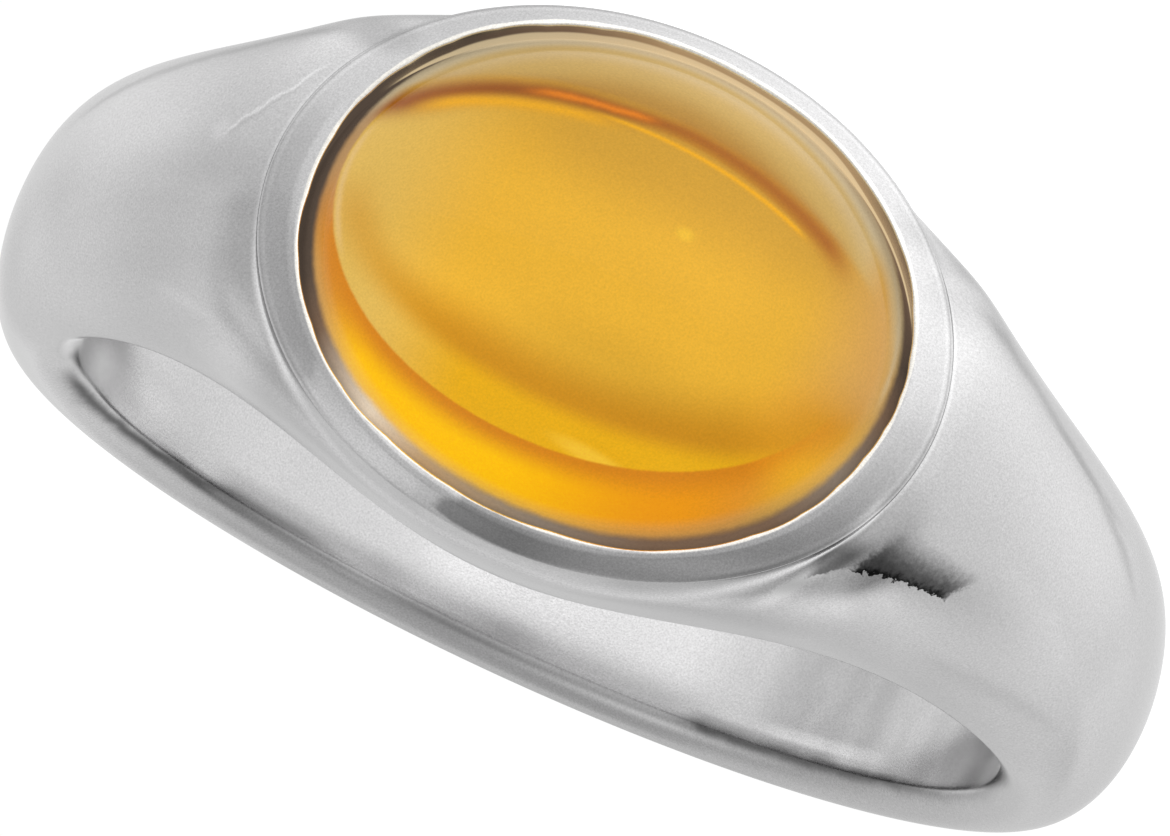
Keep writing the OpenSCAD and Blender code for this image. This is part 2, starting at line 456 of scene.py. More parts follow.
def mounting_points(s):
    """Every point and face of the mounting: the band's grid without its window, and rings from the middle of
    the pocket's floor out over the rim, the bezel, the cove and the head to the window's edge."""
    grid, deg = band_sections(s)
    rows, cols, u = head_edge()
    many, around = grid.shape[:2]
    number = np.arange(many * around).reshape(many, around)
    after = np.roll(number, -1, 0)
    cells = np.stack([number, after, np.roll(after, -1, 1), np.roll(number, -1, 1)], -1)
    keep = np.ones((many, around), bool)
    keep[:HEAD_STEPS, :TOP_STEPS] = False
    quads = [cells[keep]]
    deg_edge, slant_edge = deg[rows], 180 * cols / TOP_STEPS
    rings = bezel_rings(s, u) + head_rings(s, u, deg_edge, slant_edge)
    start = many * around
    numbers = [start + len(u) * k + np.arange(len(u)) for k in range(len(rings))] + [number[rows, cols]]
    quads += [join_rings(a, b) for a, b in zip(numbers[:-1], numbers[1:])]
    pole = start + len(u) * len(rings)
    points = np.concatenate([grid.reshape(-1, 3), *rings, [[0, 0, s.seat_z]]])
    return points, quads, [fan(pole, numbers[0])]


STONE_STEPS = 240
DOME_RINGS = 90
# The rings under the stone, up its bevel and up its edge, as shares of each
UNDER_RINGS = (0.3, 0.6, 0.9, 0.99)
BEVEL_RINGS = (0.02, 0.5, 0.96)
GIRDLE_RINGS = (0.05, 0.5)


def cabochon_points(s):
    """The stone: a bevel, the upright edge, then a dome whose ovals shrink by the cosine of an angle while
    it rises by its sine."""
    u = np.linspace(0, 2 * math.pi, STONE_STEPS + 1)[:-1]
    half = np.array([s.stone_l, s.stone_w]) / 2
    low = s.seat_z + s.seat_gap
    upright = low + s.stone_bevel
    under = [oval((half - s.stone_bevel) * k, low, u) for k in UNDER_RINGS]
    edge = [oval(half - s.stone_bevel * (1 - k), low + s.stone_bevel * k, u) for k in BEVEL_RINGS]
    edge += [oval(half, upright + (s.girdle_z - upright) * k, u) for k in GIRDLE_RINGS]
    rise = np.radians(np.linspace(0, 90, DOME_RINGS + 1)[:-1])
    dome = [oval(half * np.cos(a), s.girdle_z + s.dome_h * np.sin(a), u) for a in rise]
    rings = under + edge + dome
    numbers = [len(u) * k + np.arange(len(u)) for k in range(len(rings))]
    quads = [join_rings(a, b) for a, b in zip(numbers[:-1], numbers[1:])]
    bottom = len(u) * len(rings)
    points = np.concatenate([*rings, [[0, 0, low], [0, 0, s.girdle_z + s.dome_h]]])
    return points, quads, [fan(bottom, numbers[0]), fan(bottom + 1, numbers[-1])[:, ::-1]]


# Shader helpers

def math_method(operation, turned=False):
    """A method of Wire that adds one Math node; turned swaps its two inputs."""
    def method(self, other=None):
        return self.desk.math(operation, *((other, self) if turned else (self, other)))
    return method


class Wire:
    """One socket in a node tree. Arithmetic on it adds Math nodes."""

    __add__ = __radd__ = math_method("ADD")
    __sub__ = math_method("SUBTRACT")
    __rsub__ = math_method("SUBTRACT", turned=True)
    __mul__ = __rmul__ = math_method("MULTIPLY")
    __truediv__ = math_method("DIVIDE")
    __abs__ = math_method("ABSOLUTE")
    at_least = math_method("MAXIMUM")
    at_most = math_method("MINIMUM")
    root = math_method("SQRT")

    def __init__(self, desk, socket):
        self.desk, self.socket = desk, socket

    def __neg__(self):
        return self * -1

    def step(self, low, high):
        """0 below low, 1 above high and smooth between them; low may be the larger of the two."""
        return self.desk.wire(
            "ShaderNodeMapRange", {"interpolation_type": "SMOOTHSTEP"},
            {"Value": self, "From Min": low, "From Max": high}, "Result")

    def span(self, start, full, fade, end):
        """0 outside start and end, 1 from full to fade, smooth between."""
        return self.step(start, full) * self.step(end, fade)

    def hill(self, middle, spread):
        """A bell: 1 at middle, falling to 1/e at spread from it."""
        off = (self - middle) / spread
        return self.desk.math("EXPONENT", -(off * off))


class Desk:
    """A node tree that is filled by expressions."""

    def __init__(self, tree):
        self.tree = tree
        self.looks = bpy.context.scene.ring_looks
        tree.nodes.clear()

    def node(self, kind, settings=None, values=None):
        """A new node with its settings and with its inputs set to values or joined to wires."""
        n = self.tree.nodes.new(kind)
        for key, value in (settings or {}).items():
            if key == "stops":
                ramp = n.color_ramp.elements
                while len(ramp) > 1:
                    ramp.remove(ramp[-1])
                for k, (at, shade) in enumerate(value):
                    stop = ramp[0] if k == 0 else ramp.new(at)
                    stop.position, stop.color = at, (*shade, 1)
            else:
                setattr(n, key, value)
        for key, value in (values or {}).items():
            if isinstance(value, Wire):
                self.tree.links.new(value.socket, n.inputs[key])
            else:
                n.inputs[key].default_value = value
        return n

    def wire(self, kind, settings=None, values=None, output=0):
        """The wire from an output of a new node."""
        return Wire(self, self.node(kind, settings, values).outputs[output])

    def math(self, operation, *values):
        given = {k: v for k, v in enumerate(values) if v is not None}
        return self.wire("ShaderNodeMath", {"operation": operation}, given)

    def mix(self, share, a, b):
        """Colour a mixed with colour b by share. A colour is a wire or the name of one in RingLooks."""
        full = {0: share}
        for key, value in ((6, a), (7, b)):
            full[key] = value if isinstance(value, Wire) else (*getattr(self.looks, value), 1)
        return self.wire("ShaderNodeMix", {"data_type": "RGBA"}, full, 2)

    def over(self, shade, *layers):
        """A colour with others mixed over it in turn, each by its own share."""
        for share, other in layers:
            shade = self.mix(share, shade, other)
        return shade

    def scaled(self, shade, by):
        """A colour times a number, by Vector Math."""
        return self.wire("ShaderNodeVectorMath", {"operation": "SCALE"}, {0: shade, "Scale": by})

    def noise(self, vector, scale, detail=2, rough=0.5):
        return self.wire("ShaderNodeTexNoise", {}, {
            "Vector": vector, "Scale": scale, "Detail": detail, "Roughness": rough}, "Fac")

    def show(self, shader, kind="ShaderNodeOutputMaterial"):
        """Joins a shader to the tree's output node."""
        self.node(kind, {}, {"Surface": shader})


def worn_position(desk):
    """Object coordinates turned to the worn frame in millimetres, as a vector and as x, y and z."""
    turn = worn_axes().transposed()
    start = -(turn @ Vector(hole_mount()["pos_m"])) / MM
    where = desk.wire("ShaderNodeMapping", {"vector_type": "POINT"}, {
        "Vector": desk.wire("ShaderNodeTexCoord", output="Object"), "Location": start,
        "Rotation": turn.to_euler(), "Scale": (1 / MM, 1 / MM, 1 / MM)})
    parts = desk.node("ShaderNodeSeparateXYZ", {}, {0: where})
    return where, *(Wire(desk, part) for part in parts.outputs)


def new_material(name):
    material = bpy.data.materials.new(name)
    material.use_nodes = True
    return material, Desk(material.node_tree)


def oval_radius(x, y, half, middle=(0, 0)):
    """1 on the oval with those half lengths, less inside it."""
    u, v = (x - middle[0]) / half[0], (y - middle[1]) / half[1]
    return (u * u + v * v).root()


def spot(x, y, half, middle, start, full):
    """An oval spot: 0 outside start and 1 inside full, both as shares of its half lengths."""
    return oval_radius(x, y, half, middle).step(start, full)


def beyond(x, y, half):
    """How far a point lies outside an oval in millimetres, to first order: with u = x / a and v = y / b it is
    (u^2 + v^2 - 1) / (2 |(u / a, v / b)|)."""
    u, v = x / half[0], y / half[1]
    p, q = u / half[0], v / half[1]
    return (u * u + v * v - 1) / (2 * (p * p + q * q).root())


def around(desk, x, y, half):
    """The angle round an oval in degrees, from -180 to 180: 0 at +X, 90 at +Y."""
    return desk.math("ARCTAN2", y / half[1], x / half[0]) * (180 / math.pi)


def rim_wave(desk, turned, height):
    """The four long waves of the rim's inner edge, with a height of their own."""
    return desk.math("COSINE", turned * (4 * math.pi / 180) - RIM_TURN) * height


# The paint on the metal, most of it painted light and shade from its reflections. Its numbers are worn
# millimetres, degrees round an oval or from the stone, and shares of brightness. The noises wander and
# ragged keep the marks from looking drawn.

# The colours between rim and stone, painted shade with painted light where the stone shines through, by
# the share of a turn round the oval from -180 degrees
GAP_STOPS = (
    (0.07, "dark"), (0.105, "brown"), (0.16, "cream"), (0.2, "gold"), (0.27, "grey"), (0.33, "brown"),
    (0.4, "brown"), (0.45, "grey"), (0.5, "brown"), (0.535, "dark"), (0.59, "brown"), (0.66, "gold"),
    (0.77, "gold"), (0.825, "brown"), (0.88, "dark"))


def gap_shade(desk, turned):
    """The colour of the gap between rim and stone, painted shade and light, by the angle round the oval."""
    stops = [(at, getattr(desk.looks, "gap_" + name)) for at, name in GAP_STOPS]
    return desk.wire("ShaderNodeValToRGB", {"stops": stops}, {"Fac": (turned + 180) / 360})


TIP_AT = -98
TIP_BEND = 0.8
PATCH_AT = -135


def slope_tone(turned, rise, inside, wander):
    """The reflections on the bezel's slope: dark from a tip along the front, a grey patch at the left and a
    light stretch between them, by the angle round the oval and the share of the way down the slope."""
    bent = 13 * (rise - TIP_BEND).at_least(0) + 3 * (TIP_BEND - rise).at_least(0)
    tip = (turned - bent + wander * 9).step(TIP_AT - 3, TIP_AT)
    foot = (inside - (turned - TIP_AT) * 0.0022).step(0.45, 0.41)
    foot = foot + (1 - foot) * turned.step(-82, -66)
    deep = 0.1 + 0.36 * turned.step(-70, -88) + 0.06 * turned.step(-20, -50)
    dark = tip * foot * deep * turned.step(-8, -36) * (0.8 + 0.2 * rise.step(0.15, 0.4))
    wavy = turned + wander * 16
    patch = (wavy - 9 * rise).step(PATCH_AT, PATCH_AT - 5) + turned.step(160, 178)
    patch = patch * rise.span(0.22, 0.34, 0.86, 0.98)
    light = wavy.span(PATCH_AT - 5, -126, -112, -102)
    light = light + inside.hill(0.53, 0.06) * turned.span(-106, -100, -76, -64) * 4
    back = turned.span(22, 50, 120, 160)
    right = turned.span(-34, -24, -4, 8)
    return (1 - dark) * (1 - 0.18 * patch) * (1 + 0.12 * light) * (1 - 0.14 * back) * (1 - 0.1 * right)


STRIPE_PITCH = 0.13
BEAD_SPREAD = 0.035


def foot_lines(desk, turned, off, wander):
    """Painted light and shade along the bezel's foot: a fine dark line of painted shade between two painted
    highlights at the sides and back, fine stripes on the ledge in front, painted lighter there, and a painted
    highlight line that leaves the foot at the right front."""
    off = off + wander * 0.03
    front = turned.span(-134, -120, -58, -44)
    right = turned.span(-66, -50, 30, 60)
    left = turned.span(-165, -152, -138, -126)
    highlights_and_crease_shade = off.hill(-0.12, BEAD_SPREAD) * 0.12 + off.hill(0.045, BEAD_SPREAD) * (0.14 + 0.12 * right)
    highlights_and_crease_shade = highlights_and_crease_shade - off.hill(-0.045, 0.022) * 0.22 + left * off.hill(0.07, 0.06) * 0.35
    stripes = desk.math("SINE", off * (2 * math.pi / STRIPE_PITCH)) * 0.06
    stripes = stripes * off.span(-0.02, 0.03, 0.3, 0.5)
    ledge = off.span(-0.01, 0.05, 0.35, 0.7) * 0.2
    leaving = (off - 0.12 + (turned + 30) * 0.015).hill(0, 0.11) * turned.span(-50, -38, -22, -12)
    return 1 + highlights_and_crease_shade * (1 - front) + (stripes + ledge) * front + leaving * 0.6


def hole_streaks(x, near, wander):
    """The dark streak along the hole's edges, a painted reflection, and the softer painted shade and shine
    beside it, by the distance near from the edge."""
    right = x.step(0, 2)
    narrows = x.step(7.6, 9.2)
    middle = (1 - right) * (x * 0.055 + 0.785).at_most(0.43) + right * (0.41 - 0.1 * narrows)
    streak = (near - middle + wander * 0.1).hill(0, 0.115 + 0.02 * right)
    depth = 0.79 * x.step(-4.2, -7.4)
    depth = depth + (x + wander * 0.5).step(3.1, 3.7) * (0.74 - 0.45 * x.step(7.6, 9.3))
    soft = x.span(-7.4, -6.4, -3.6, -2.4) * 0.3 + x.hill(-0.6, 0.8) * 0.22
    soft = soft + x.span(-7.2, -6.6, -5.2, -4.2) * near.step(0.75, 0.55) * 0.25
    soft = soft + x.span(3.2, 3.8, 6.2, 6.8) * near.step(0.8, 0.6) * 0.35
    soft = soft * near.span(0.4, 0.55, 0.7, 1.15)
    shine = near.span(0.66, 0.76, 0.9, 1.05) * x.span(4.6, 5.4, 6.8, 7.8) * 0.2
    shine = shine + near.hill(0.43, 0.11) * x.span(-4.6, -3.4, 2.6, 3.3) * 0.34
    shine = shine - near.step(0.2, 0) * x.span(-8, -6, 2.6, 4.4) * 0.22
    return streak * depth, soft, shine


def hole_tone(s, desk, x, y, z, out, wander):
    """The finger hole's reflections: a streak along both edges in the lower half, and a bore that is bright
    in the middle and grey towards the edges, with soft bands at the right."""
    aside = abs(y)
    lower = z.step(-0.2, -2.2)
    near = s.side_w / 2 + (z / out) * ((s.side_w - s.back_w) / 2) - aside
    hole = out.step(s.hole_r + 0.6, s.hole_r + 0.4) * lower
    streak, soft, shine = hole_streaks(x, near, wander)
    bore = out.step(s.hole_r + 0.12, s.hole_r + 0.04) * lower
    bright = x.span(-4.2, -1.8, 2.6, 4.4)
    bands = desk.math("SINE", (desk.math("ARCTAN2", x, -z) + wander * 0.1) * 62) * x.step(4.2, 6) * 0.03
    tone = bright * (0.3 * aside.step(1.1, 0.35) - 0.26 * aside.step(0.7, 1.4)) - 0.05 * x.step(4.5, 8.6)
    tone = tone - 0.24 * x.span(4.3, 5.2, 6.8, 7.8) * aside.step(1.3, 0.8)
    tone = tone - 0.06 * x.span(-6.5, -5.5, -2.5, 0) - 0.11 * x.span(-4.2, -2.8, -1, 0.6)
    ends = 0.35 * x.step(-7.6, -9.2) * near.step(0.38, 0.5)
    ends = (ends + 0.42 * x.step(8.8, 9.5) * near.step(0.28, 0.4)) * aside.step(0.5, 1.2)
    return (1 - hole * streak) * (1 - hole * soft) * (1 + hole * shine) * (1 + bore * (tone + bands + ends))


# Where the ragged reflection's lower edge starts, and the cosine and sine of its slant
RAGGED_AT = (6.4, -2.84)
RAGGED_COS = 0.94
RAGGED_SIN = 0.342


def ragged_reflection(x, y, off, ragged):
    """A painted dark reflection with a ragged lower edge, painted grey shade in the corner beside the bezel's
    foot, and slightly brighter metal under them, painted light."""
    right, up = x - RAGGED_AT[0], y - RAGGED_AT[1]
    run = right * RAGGED_COS + up * RAGGED_SIN
    across = up * RAGGED_COS - right * RAGGED_SIN + 0.02 + ragged * 0.3
    share = across / (1.2 - 0.26 * run).at_least(0.3)
    patch = across.step(-0.012, 0.012) * (0.84 * share.step(1, 0.1) + 0.15 * across.step(0.14, 0))
    patch = patch * (run - 1.3 * across).step(-0.14, 0.12) * (run - 1.5 * across).step(1.95, 1.75)
    inside = ((y + 3.24) - (x - 5.84) * 0.79 + ragged * 0.12).step(-0.01, 0.03)
    corner = inside * off.span(0.03, 0.07, 0.3, 0.55) * y.step(-2.1, -2.7) * x.step(5.6, 5.9) * 0.66
    under = across.span(-0.75, -0.45, -0.25, -0.03) * run.span(-1.6, -1.1, -0.3, 0.4) * (1 - inside) * 0.22
    under = under + across.span(-0.42, -0.25, -0.1, -0.02) * run.span(0.1, 0.4, 0.8, 1.2) * 0.07
    return patch, corner, under


def glint_and_crease_lines(x, y, z, wander):
    """A thin painted glint with its painted shadow and a bright drop at its end on the left shoulder, and
    faint lighter and darker lines of painted light and shade along creases.
    """
    line = (x + 7.34) * 0.83 - (y - 0.88) * 0.56 + wander * 0.3
    glint = line.hill(0, 0.035) * y.span(-0.1, 0.25, 1.6, 2.1) * 0.24
    glint = glint - line.hill(0.07, 0.035) * y.span(-0.1, 0.25, 1, 1.6) * 0.1
    glint = glint + spot(x, y, (0.16, 0.26), (-8.02, 0.08), 1.4, 0.4) * 0.12
    left = (y + 2.85 + 0.4 * (x + 7.71)).hill(0, 0.07) * x.span(-8.4, -7.6, -6, -5.4)
    right = (y + 2.62 - 0.3 * (x - 9.2)).hill(0, 0.08) * x.span(7.6, 8.6, 10.4, 11.2) * z.step(3, 5)
    top = (y - 1.47 + 0.29 * (x - 9.92)).span(-0.02, 0.02, 0.08, 0.3)
    top = top * x.span(8.2, 9, 10.2, 10.9) * z.step(5, 7)
    return glint, left * 0.07 - right * 0.09 - top * 0.13


def shoulder_tones(x, y, turn):
    """The broad painted light and shade of the two shoulders, by y and the angle from the stone."""
    left = 0.2 * (y + 0.078 * (turn - 36)).step(0.7, 2.3) + 0.2 * turn.step(78, 92)
    left = left + (0.16 * y.step(-2.2, -3.1) + 0.14 * y.step(-3.1, -3.9)) * turn.step(68, 52)
    left = left - 0.17 * (y + 0.9 + 0.02 * (turn - 36)).hill(0, 0.75) * turn.span(20, 28, 52, 64)
    right = 0.14 * turn.step(58, 82) + 0.12 * y.step(-2.3, -3.1) * turn.step(72, 56)
    right = right - 0.22 * y.step(1.8, 2.9) * turn.step(38, 28)
    right = right - 0.09 * (y + 0.9).hill(0, 1.3) * turn.span(22, 30, 56, 66)
    return x.step(-5, -6.2) * left + x.step(5, 6.2) * right


def shoulder_light_and_shade(s, desk, x, y, z, out, off, wander, ragged):
    """The painted light and shade on the shoulders: their broad tones, a darker band and darker spots along
    their backs, a darker spot on the left, the ragged reflection, the glint and creases, and a brighter
    front wall."""
    turn = desk.math("ARCTAN2", abs(x), z) * (180 / math.pi)
    above = z.step(9.5, 10.5)
    band = (y - (4.7 - 0.07 * turn) + wander * 0.2).hill(0, 0.16)
    band = band * turn.span(25, 29, 52, 62) * out.step(12.3, 12.8) * 0.24
    backs = spot(x, y, (0.75, 0.5), (-6, 2.95), 1.4, 0.3) * 0.3
    backs = backs + spot(x, y, (1, 0.5), (5.5, 3.65), 1.4, 0.3) * 0.2
    # a darker spot of painted shade on the left shoulder
    painted_dark_spot = spot(x, y, (1.4, 1.5), (-7.4, 0), 1.3, 0.2) * 0.13
    patch, corner, under = ragged_reflection(x, y, off, ragged)
    glint, creases = glint_and_crease_lines(x, y, z, wander)
    wall = x.step(-0.8, -2.4) * y.step(-3.2, -3.7) * 0.06
    ends = 0.3 * x.step(-8, -10.6) + 0.14 * x.step(8.2, 11)
    shell = out.step(s.base_r - 0.3, s.base_r + 0.2)
    tone = (1 + shell * shoulder_tones(x, y, turn)) * (1 + ends) * (1 - band) * (1 + creases)
    for darker in (patch, corner, backs, painted_dark_spot):
        tone = tone * (1 - above * darker)
    return tone * (1 + above * (under + wall)) * (1 + above * x.step(-5, -6.2) * glint)


# How far the burnished rim's painted highlight reaches out from the stone's mouth, before its waves
RIM_LINE = 0.09


def polished_metal(s):
    """Polished white metal: fine grain, a burnished rim with a painted highlight, dark pocket walls of
    painted shade, and soft painted reflections.
    """
    material, desk = new_material("polished white metal")
    where, x, y, z = worn_position(desk)
    out = (x * x + z * z).root()
    grain = desk.noise(where, 24, 2)
    broad = desk.noise(where, 0.35, 1)
    wander = desk.noise(where, 1.6, 2) - 0.5
    ragged = desk.noise(where, 7, 3, 0.65) - 0.5
    turned = around(desk, x, y, s.mouth)
    inside = beyond(x, y, s.mouth)
    off = beyond(x, y, s.foot)
    # the tone of the surface: random grain, and painted light and shade for its reflections
    head = z.step(s.foot_z - 1.6, s.foot_z - 1)
    edge = RIM_LINE + rim_wave(desk, turned, RIM_WAVE) + wander * 0.06 + 0.011 * y
    slope = (inside - edge).step(0, 0.02) * off.step(0.02, -0.01) * head
    shade = 1 + (grain - 0.5) * 0.55 + (broad - 0.5) * 0.06
    shade = shade * (1 + slope * (slope_tone(turned, inside / (inside - off), inside, wander) - 1))
    shade = shade * (1 + head * (foot_lines(desk, turned, off, wander) - 1))
    shade = shade * hole_tone(s, desk, x, y, z, out, wander)
    shade = shade * shoulder_light_and_shade(s, desk, x, y, z, out, off, wander, ragged)
    # the burnished rim's top, painted brighter as a highlight, and the pocket's wall inside it in the gap's
    # painted shade, pale where the light reaches it at the back
    high = z.step(s.rim_z - 0.06, s.rim_z - 0.03)
    tint = desk.mix(high * (inside - edge).step(0.014, -0.014), "metal", "rim")
    pocket = inside.step(0.1, 0.05) + inside.step(0.2, 0.16) * z.step(s.rim_z - 0.2, s.rim_z - 0.25)
    pocket = pocket.at_most(1) * (1 - high) * z.step(s.seat_z - 0.5, s.seat_z - 0.2)
    shown = s.rim_z - 0.6 - 0.3 * (4.2 - y).at_least(0) - 0.45 * x.step(2.7, 4)
    pale = (z - shown).step(0.12, -0.1) * y.step(2.1, 2.7)
    gap = desk.mix(pale, gap_shade(desk, turned), "band_rim")
    tint = desk.mix(pocket, tint, gap)
    # a light of their own for the hole's edge and the pocket, which mirror too little here
    edge_glow = out.step(s.hole_r + 0.03, s.hole_r + 0.01) * abs(x).step(9.3, 9.75) * y.step(-0.8, -1.4)
    lip = (out - s.hole_r - 0.12 * z.at_least(0)).step(0.2, 0) * x.step(-9.5, -9.75)
    lip = lip * y.step(-1.6, -1.95) * z.span(-0.8, 1, 3.2, 4.4)
    edge_glow = (edge_glow * 0.3 * (1 - lip) + lip * 0.58) * (1 - pocket)
    glow = desk.mix(edge_glow, desk.scaled(gap, pocket * 0.6), "metal")
    bump = desk.wire("ShaderNodeBump", {}, {"Strength": 0.05, "Distance": 0.00002, "Height": grain})
    desk.show(desk.wire("ShaderNodeBsdfPrincipled", {}, {
        "Base Color": desk.scaled(tint, shade), "Metallic": 1,
        "Roughness": 0.16 + broad * 0.05 + grain * 0.03, "Normal": bump,
        "Specular Tint": (0.62, 0.62, 0.62, 1), "Emission Color": glow, "Emission Strength": 1}))
    return material


# The ovals of the stone's paint: half lengths and middle
OLIVE_OVAL = ((5.15, 2.74), (0.12, 0))
LENS_OVAL = ((5.28, 3.84), (-0.2, 0.2))
ARC_OVAL = ((5.8, 2.98), (-0.3, 0))
SHINE_OVAL = ((5.7, 2.64), (-0.3, 0))
GAP_OVAL = ((5.84, 4.85), (0.01, 0.125))
# Spots of painted light and shade: strength, half lengths, middle, and where each starts and is full
STONE_SPOTS = (
    (0.14, (1.1, 1.2), (4.5, -1.3), 1.3, 0.2),
    (0.04, (1.6, 1), (-2.6, -1.8), 1.4, 0.1),
    (-0.15, (2.3, 0.8), (1.1, -1.95), 1.4, 0.2))


def stone_middle(desk, x, y):
    """The golden middle, the olive arc of painted shade below it and the bright lens of painted light below
    that, with light strips of painted highlight.
    """
    warm = y.step(0.3, 2) * x.step(-4.5, -1) * 0.85
    olive = oval_radius(x, y, *OLIVE_OVAL)
    below = y.step(0.2, -1)
    narrow = olive.step(0.66 + 0.2 * x.step(-1.4, -4), 1) * below
    strip = spot(x, y + (x - 1.1) * 0.05, (0.95, 0.16), (1.25, -3.44), 1.3, 0.3)
    return desk.over(
        "gold", (warm, "deep_gold"), (x.step(-2.2, -5), "pale_gold"), (x.step(3.4, 5.6), "blush"),
        (spot(x, y, (0.2, 0.15), (1.1, 1), 1.3, 0.3) * 0.75, "lens_light"),
        (narrow * (0.5 + 0.5 * x.step(-4.4, -1.8)), "olive"),
        (olive.step(1, 1.15) * below, desk.mix(x.step(-1.5, -4), "lens", "pale_gold")),
        (strip * 0.8, "lens_light"))


def stone_crescent(desk, shade, x, y, streaky):
    """The glowing crescent outside the lens, painted light where a real stone focuses it, with a darker
    orange line inside it, and a light left edge, a painted highlight.
    """
    lens = oval_radius(x, y, *LENS_OVAL) + streaky * 0.006
    glow = desk.over(
        "crescent", (x.step(-0.8, 3), "crescent_right"), (x.step(3, 5.2), "crescent_end"),
        (x.step(-3.5, -5), "crescent_left"), (lens.step(1.13, 1.01), "line"),
        ((x - 0.8 * y).step(-3.9, -6), "left_end"))
    outside = lens.step(0.995, 1.008) * (y + 0.25 * x).step(0.9, 0.1) * (1 - 0.7 * x.step(3.9, 4.9))
    pale_edge = lens.hill(0.985, 0.012) * x.step(-4.6, -5.1) * y.step(1.2, 0.6)
    return desk.over(shade, (pale_edge * 0.7, "left_edge"), (outside, glow))


def stone_upper(desk, shade, x, y, edge, cloud, streaky):
    """The upper band, a painted reflection, the dark arc under it with its orange streak, painted shade, and
    the bright line under that, a painted highlight.
    """
    arc = oval_radius(x, y, *ARC_OVAL) + cloud * 0.02
    above = y.step(0.9, 1.6)
    band = desk.over(
        "band_low", (edge.step(0.66, 0.8), "band"), (edge.step(0.8, 0.88), "band_high"),
        (edge.step(0.885, 0.95), "band_rim"))
    shift = arc + 0.045 * x.step(0.6, -1.4)
    core = shift.hill(1.006, 0.066 + 0.02 * x.step(0, -2)) * above * x.step(4.4, 3.5)
    under = shift.span(0.93, 0.955, 0.99, 1.02) * above * x.span(-0.6, 0.4, 3, 3.6)
    flame = (shift + streaky * 0.02).hill(1.01, 0.027) * x.span(-3.1, -2.2, -0.8, -0.1) * above
    shine = oval_radius(x, y, *SHINE_OVAL)
    left = shine.hill(0.955, 0.045) * x.span(-5, -4, -1.8, -0.6) * 0.85
    right = shine.hill(1, 0.019) * x.span(-1.8, -0.6, 2.8, 3.3)
    return desk.over(
        shade, (arc.step(1.03, 1.09) * above * x.step(4.9, 4.1), band), (under * 0.6, "olive"),
        (core, desk.mix(x.step(-1.4, 0.4), "arc", "arc_right")), (flame, "flame"),
        ((left + right) * above, "shine"))


def stone_rim(desk, shade, x, y, edge, turned, streaky):
    """Paler beside the rim at the back, a painted reflection, hazy in front, and the gap along the rim in
    painted shade, with the rim's painted shadow.
    """
    hazy = y.step(-0.5, -2).at_least(x.step(4, 5.2)) * 0.45
    gap = oval_radius(x, y, *GAP_OVAL) + streaky * 0.01 - rim_wave(desk, turned, 0.006)
    hue = gap_shade(desk, turned)
    shade = desk.over(
        shade, (edge.step(0.9, 0.955) * y.step(0.6, 1.8) * 0.9, "band_rim"),
        (edge.step(0.885, 0.945) * hazy, "haze"),
        (gap.hill(0.967, 0.008) * turned.span(-2, 8, 40, 56) * 0.5, "band_rim"),
        (gap.step(0.97, 0.994), desk.scaled(hue, 1.35)), (gap.step(1, 1.02), hue))
    shadow = edge.step(0.89, 0.94) * turned.span(-112, -94, -40, -8) * (1 - gap.step(0.98, 1)) * 0.24
    return shade, shadow


def honey_stone(s):
    """The translucent stone, its light and shade painted into its colour. It glows by itself, painted light
    that stands for the light inside a real stone.
    """
    material, desk = new_material("honey cabochon")
    where, x, y, _ = worn_position(desk)
    half = np.array([s.stone_l, s.stone_w]) / 2
    cloud = desk.noise(where, 0.9, 2) - 0.5
    streaky = desk.noise(where, 4, 3) - 0.5
    grain = desk.noise(where, 22, 2) - 0.5
    edge = oval_radius(x, y, half)
    shade = stone_middle(desk, x, y)
    shade = stone_crescent(desk, shade, x, y, streaky)
    shade = stone_upper(desk, shade, x, y, edge, cloud, streaky)
    shade, shadow = stone_rim(desk, shade, x, y, edge, around(desk, x, y, half), streaky)
    # painted light and shade: lighter as y falls below 0, darker as it rises above, a little darker towards
    # +x
    lift = 0.15 * y.step(0.2, -3.2) - 0.24 * y.step(0.2, 3.6) - 0.05 * x.step(2, 4)
    for strength, size, middle, start, full in STONE_SPOTS:
        lift = lift + strength * spot(x, y, size, middle, start, full)
    shade = desk.scaled(shade, (1 + lift - shadow) * (1 + cloud * 0.06 + grain * 0.32))
    # the painted colour serves as base colour and as a glow of its own, painted light
    desk.show(desk.wire("ShaderNodeBsdfPrincipled", {}, {
        "Base Color": desk.scaled(shade, 0.55), "Roughness": 0.06 + (cloud + 0.5) * 0.03, "IOR": 1.54,
        "Specular IOR Level": 0.12, "Emission Color": desk.scaled(shade, 0.52), "Emission Strength": 1}))
    return material


# The stage: soft lights and soft dark cards round the ring, by the azimuth and elevation of their middle in
# degrees, their tightness and their strength
SKY_BASE = 1.28
SKY = (
    (205, 42, 6.6, -0.78), (209, 51, 22, 0.46), (48, 69, 1.8, -0.77), (356, 66, 13, 0.4),
    (294, -4, 1.35, -0.55), (113, -5, 30, -0.39), (156, 32, 27, -0.5))
FLOOR_BASE = 0.955
FLOOR = ((215, -43, 1.55, 0.51), (258, 33, 1.57, -0.78), (257, -24, 7.1, 0.745), (57, -26, 25, 0.17))
FLOOR_LEAST = 1.02
FLOOR_REACH = 3
RING_HEIGHT = 0.006


